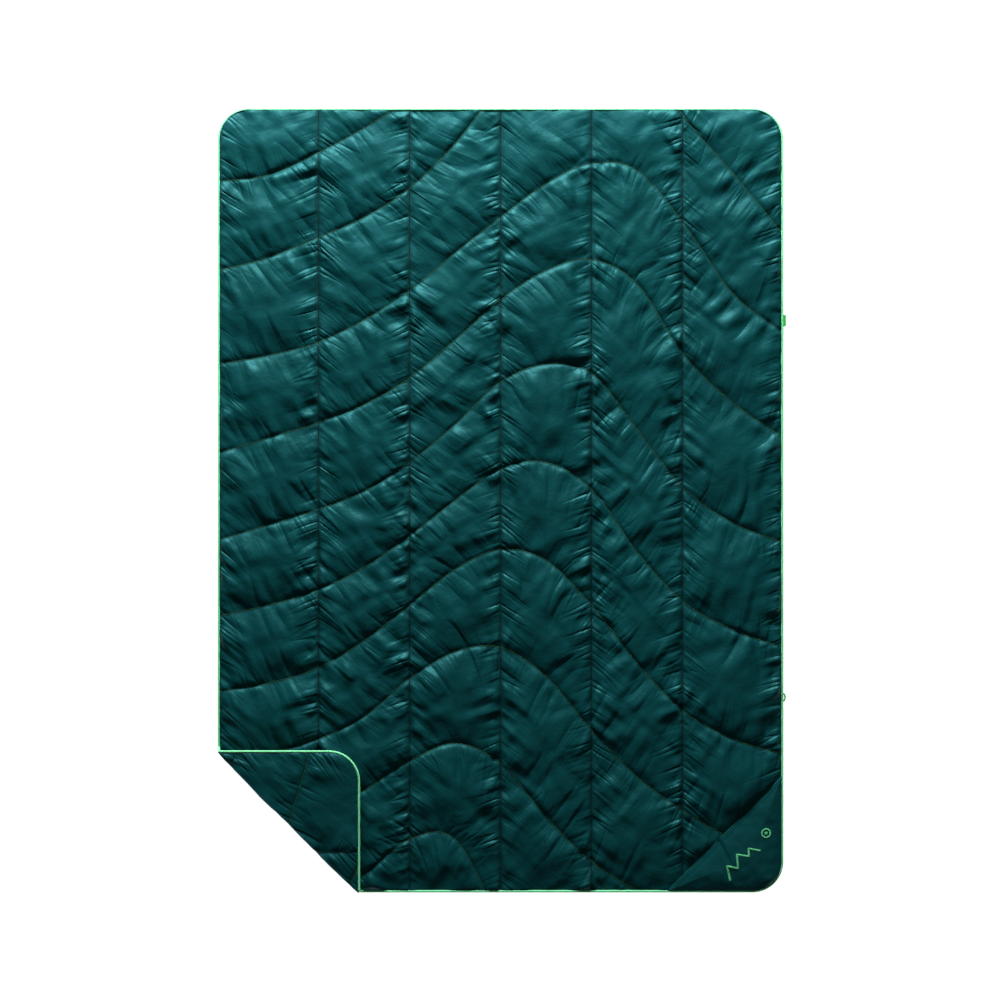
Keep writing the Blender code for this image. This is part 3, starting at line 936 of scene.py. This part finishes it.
def seam_runs(corner):
    """Lines of the wavy and of the straight seams, on the corner or on the rest of the blanket."""
    waves, columns = [], []

    def kept(x, y):
        inside = (np.abs(y) < shell_y - stitch_margin) & (np.abs(x) < shell_x - stitch_margin)
        if corner:
            return inside & (x + y < fold_sum - stitch_margin)
        return inside & (x + y > fold_sum + stitch_margin)

    x = np.linspace(-shell_x, shell_x, 640)
    for y in wave_seams(x)[1:-1]:
        waves += runs_of(x, y, kept(x, y))
    y = np.linspace(-shell_y, shell_y, 880)
    for seam in column_seams[1:-1]:
        x = np.full(len(y), seam)
        columns += runs_of(x, y, kept(x, y))
    return waves, columns


def clear_of_patch(runs):
    """Leaves out what the patch covers."""
    found = []
    for run in runs:
        open_part = run[run[:, 0] - run[:, 1] < patch_edge - stitch_margin]
        if len(open_part) > 3:
            found.append(open_part)
    return found


def both_faces(tree, runs, face_runs):
    return [drop(tree, run, stitch_lift) for run in face_runs] + [
        drop(tree, run, stitch_lift, from_below=True) for run in runs
    ]


main_waves, main_columns = seam_runs(corner=False)
flap_waves, flap_columns = seam_runs(corner=True)
wave_thread = add_stitches("wave_thread", both_faces(main_tree, main_waves, clear_of_patch(main_waves)))
column_thread = add_stitches("column_thread", both_faces(main_tree, main_columns, clear_of_patch(main_columns)))
flap_wave_thread = add_stitches("flap_wave_thread", both_faces(flap_tree, flap_waves, flap_waves))
flap_column_thread = add_stitches("flap_column_thread", both_faces(flap_tree, flap_columns, flap_columns))
olive_look = twill("olive_thread", (0.016, 0.075, 0.022, 1), (0.050, 0.170, 0.045, 1), 0.0006, 0.0001, 0.5)
teal_look = twill("teal_thread", (0.0002, 0.007, 0.008, 1), (0.0006, 0.018, 0.020, 1), 0.0006, 0.0001, 0.85, 0.03)
for thread, look in (
    (wave_thread, olive_look),
    (flap_wave_thread, olive_look),
    (column_thread, teal_look),
    (flap_column_thread, teal_look),
):
    thread.data.materials.append(look)
    into_place(thread, turned=thread.name.startswith("flap"))
for thread in (wave_thread, column_thread):
    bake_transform(thread)
for thread in (flap_wave_thread, flap_column_thread):
    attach(thread, "corner_flap")
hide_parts("quilting_thread_left", "quilting_thread_right")
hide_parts(*[name for name in frame["nodes"] if name.startswith("quilting") and "corner" in name])

# ---------------------------------------------------------------------------------------------
# Corner patch: a triangle of plain shell fabric laid over the quilting at the right foot corner and
# topstitched down along its diagonal with two rows.
# ---------------------------------------------------------------------------------------------
patch_columns, patch_rows = 120, 90
weld = 0.00005
stitch_rows = (0.0035, 0.0085)
patch, flat = add_grid("patch", patch_columns, patch_rows)[:2]
x = shell_x - patch_leg * (1 - (flat[:, 0] + 1) / 2)
y = -shell_y + (x - shell_x + patch_leg) * (flat[:, 1] + 1) / 2
z = patch_height(x, y)
x, y = round_corners(x, y)
set_coords(patch, np.column_stack([x, y, z]))
bm = bmesh.new()
bm.from_mesh(patch.data)
bmesh.ops.remove_doubles(bm, verts=bm.verts, dist=weld)
bm.to_mesh(patch.data)
bm.free()
thicken(patch, fabric_thickness, -1)
patch.data.materials.append(nylon("patch_nylon", (0.0010, 0.040, 0.043, 1), (0.0020, 0.052, 0.055, 1), 0.45))
into_place(patch)

stitch_t = np.linspace(0.012, patch_leg - 0.008, 200)
patch_runs = []
for inset in stitch_rows:
    x = shell_x - patch_leg + stitch_t + inset / math.sqrt(2)
    y = -shell_y + stitch_t - inset / math.sqrt(2)
    keep = (y > -shell_y + 0.003) & (x < shell_x - 0.003)
    x, y = x[keep], y[keep]
    z = patch_height(x, y) + stitch_lift
    x, y = round_corners(x, y)
    patch_runs.append(np.column_stack([x, y, z]))
patch_thread = add_stitches("patch_thread", patch_runs)
patch_thread.data.materials.append(teal_look)
into_place(patch_thread)
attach(patch, "right_half")
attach(patch_thread, "right_half")
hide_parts("corner_patch")
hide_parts("patch_stitch_inner", "patch_stitch_outer")

# ---------------------------------------------------------------------------------------------
# Embroidery on the patch: a plain row of peaks and a ring for a sun, in light green satin stitch, each
# stroke filled with threads laid side by side across it.
# ---------------------------------------------------------------------------------------------
satin_pitch = 0.00075
satin_radius = 0.00048
stroke_width = 0.0042
mark_centre = np.array([half_width - 0.085, -half_length + 0.080])
mark_along = np.array([1, 1]) / math.sqrt(2)
mark_up = np.array([-1, 1]) / math.sqrt(2)
peak_corners_mm = [(-62, -12), (-44, 16), (-30, -5), (-10, 19), (6, -3), (18, 10), (33, -12)]
sun_place = (0.070, 0.006)
sun_radius = 0.0095
sun_middle = 0.0036


def satin_threads(line, widths):
    """Short threads across a stroke, closely spaced, each a run of points that follows the patch."""
    line = np.asarray(line, float)
    arc = np.concatenate([[0], np.cumsum(np.hypot(*np.diff(line, axis=0).T))])
    stops = np.arange(satin_pitch / 2, arc[-1], satin_pitch)
    centres = np.column_stack([np.interp(stops, arc, line[:, k]) for k in range(2)])
    directions = np.gradient(centres, axis=0)
    directions /= np.linalg.norm(directions, axis=1)[:, None]
    spread = np.interp(stops / arc[-1], np.linspace(0, 1, len(widths)), widths)
    runs = []
    for centre, direction, width in zip(centres, directions, spread):
        side = np.array([-direction[1], direction[0]])
        across_stroke = centre + side * np.linspace(-width / 2, width / 2, 5)[:, None]
        z = patch_height(across_stroke[:, 0], across_stroke[:, 1]) + np.array([0, 0.0005, 0.0007, 0.0005, 0])
        runs.append(np.column_stack([across_stroke, z]))
    return runs


corners = [mark_centre + (mark_along * a + mark_up * b) / 1000 for a, b in peak_corners_mm]
peak_line = [corners[0]]
for start, end in zip(corners, corners[1:]):
    peak_line += [start + (end - start) * t for t in np.linspace(0, 1, 13)[1:]]
sun_centre = mark_centre + mark_along * sun_place[0] + mark_up * sun_place[1]
sun_angles = np.linspace(0, 2 * math.pi, 49)
sun_ring = [sun_centre + sun_radius * np.array([math.cos(a), math.sin(a)]) for a in sun_angles]
sun_t = np.linspace(-sun_middle, sun_middle, 13)
sun_disc = [sun_centre + mark_along * t for t in sun_t]
sun_threads = satin_threads(sun_ring, [stroke_width * 0.8] * 2)
sun_threads += satin_threads(sun_disc, 2 * np.sqrt(np.maximum(sun_middle**2 - sun_t**2, 0.0005**2)))
peaks = add_tube("embroidered_mark_peaks", satin_threads(peak_line, [stroke_width] * 2), satin_radius, 1)
sun = add_tube("embroidered_mark_sun", sun_threads, satin_radius, 1)
silk_look = twill("satin_thread", (0.07, 0.46, 0.20, 1), (0.18, 0.72, 0.34, 1), 0.0009, 0.0001, 0.35)
for mark, node in ((peaks, "embroidered_peaks"), (sun, "embroidered_sun")):
    mark.data.materials.append(silk_look)
    into_place(mark)
    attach(mark, "right_half")
    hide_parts(node)

# ---------------------------------------------------------------------------------------------
# Webbing loop: a short length of ribbed green tape folded double over the piping and sewn into the
# edge seam, square at its ends, for hanging the blanket or tying it down.
# ---------------------------------------------------------------------------------------------
tape_low, tape_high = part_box("upper_loop")
tape_thickness = 0.0016
drawn_in = 0.0022
path_count = 56
tape_width = tape_high.y - tape_low.y
tape_ribs = 12
ribs_per_turn = 8
loop_half = (tape_high.z - tape_low.z) / 2 - tape_thickness / 2
tape_tip = tape_high.x - tape_thickness / 2 - drawn_in
tape_root = tape_low.x - drawn_in
mid_z = (tape_low.z + tape_high.z) / 2


def tape_path(count):
    """The middle of the folded tape in x and height, and its slope: a drop that closes at the edge seam."""
    t = np.linspace(0, 1, count)
    turn = math.pi * (1 - 2 * t)
    x = tape_root + (tape_tip - tape_root) * (1 + np.cos(turn)) / 2
    height = -np.sin(turn) * loop_half * 1.05 * (0.42 + 0.58 * (1 + np.cos(turn)) / 2) - np.sign(turn) * 0.0009
    slope = np.unwrap(np.arctan2(np.gradient(height), np.gradient(x)))
    return np.column_stack([x, height, slope])


tape, flat, i = add_grid("webbing_loop", path_count - 1, tape_ribs * ribs_per_turn)
path = tape_path(path_count)
grow = 0.00016 * np.abs(np.sin((flat[:, 1] + 1) / 2 * math.pi * tape_ribs))
x = path[i, 0] + np.sin(path[i, 2]) * grow
z = mid_z + path[i, 1] - np.cos(path[i, 2]) * grow
y = (tape_low.y + tape_high.y) / 2 + flat[:, 1] * tape_width / 2
set_coords(tape, np.column_stack([x, y, z]))
thicken(tape, tape_thickness * 0.8, 0)
face_outward(tape)
shade_smooth(tape)
webbing_look = twill("green_webbing", (0.008, 0.30, 0.035, 1), (0.022, 0.48, 0.065, 1), 0.0009, 0.0002, 0.6)
tape.data.materials.append(webbing_look)
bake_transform(tape)
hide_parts("upper_loop")

# ---------------------------------------------------------------------------------------------
# Cord loop: a short loop of the same green in round braided cord, its two ends sewn into the edge
# seam further down the same side.
# ---------------------------------------------------------------------------------------------
cord_low, cord_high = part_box("lower_loop")
cord_radius = (cord_high.z - cord_low.z) / 2 + 0.0008
strand_radius = cord_radius * 0.52
strand_turn = 0.0052
cord_mid_y = (cord_low.y + cord_high.y) / 2
cord_mid_z = (cord_low.z + cord_high.z) / 2
half_span = (cord_high.y - cord_low.y) / 2 - cord_radius
reach = cord_high.x - cord_radius - cord_low.x - drawn_in
root = 0.0035
cord_step = 0.0005
strand_count = 3
arc_steps = 40
centre_line = [(cord_low.x - root, cord_mid_y - half_span, cord_mid_z)]
for step in range(arc_steps + 1):
    angle = math.pi * step / arc_steps - math.pi / 2
    out = reach * max(math.cos(angle), 0) ** 0.7
    centre_line.append((cord_low.x + out, cord_mid_y + half_span * math.sin(angle), cord_mid_z))
centre_line.append((cord_low.x - root, cord_mid_y + half_span, cord_mid_z))
centre_line = evenly(centre_line, cord_step)
tangents = np.gradient(centre_line, axis=0)
tangents /= np.linalg.norm(tangents, axis=1)[:, None]
sideways = np.cross(tangents, (0, 0, 1))
turned = np.arange(len(centre_line)) * cord_step / strand_turn * 2 * math.pi
strands = []
for k in range(strand_count):
    angle = turned + k * 2 * math.pi / strand_count
    swing = sideways * np.cos(angle)[:, None] + np.array([0, 0, 1]) * np.sin(angle)[:, None]
    strands.append(centre_line + swing * (cord_radius - strand_radius))
cord = add_tube("cord_loop", strands, strand_radius, 2)
shade_smooth(cord)
cord.data.materials.append(webbing_look)
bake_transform(cord)
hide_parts("lower_loop")
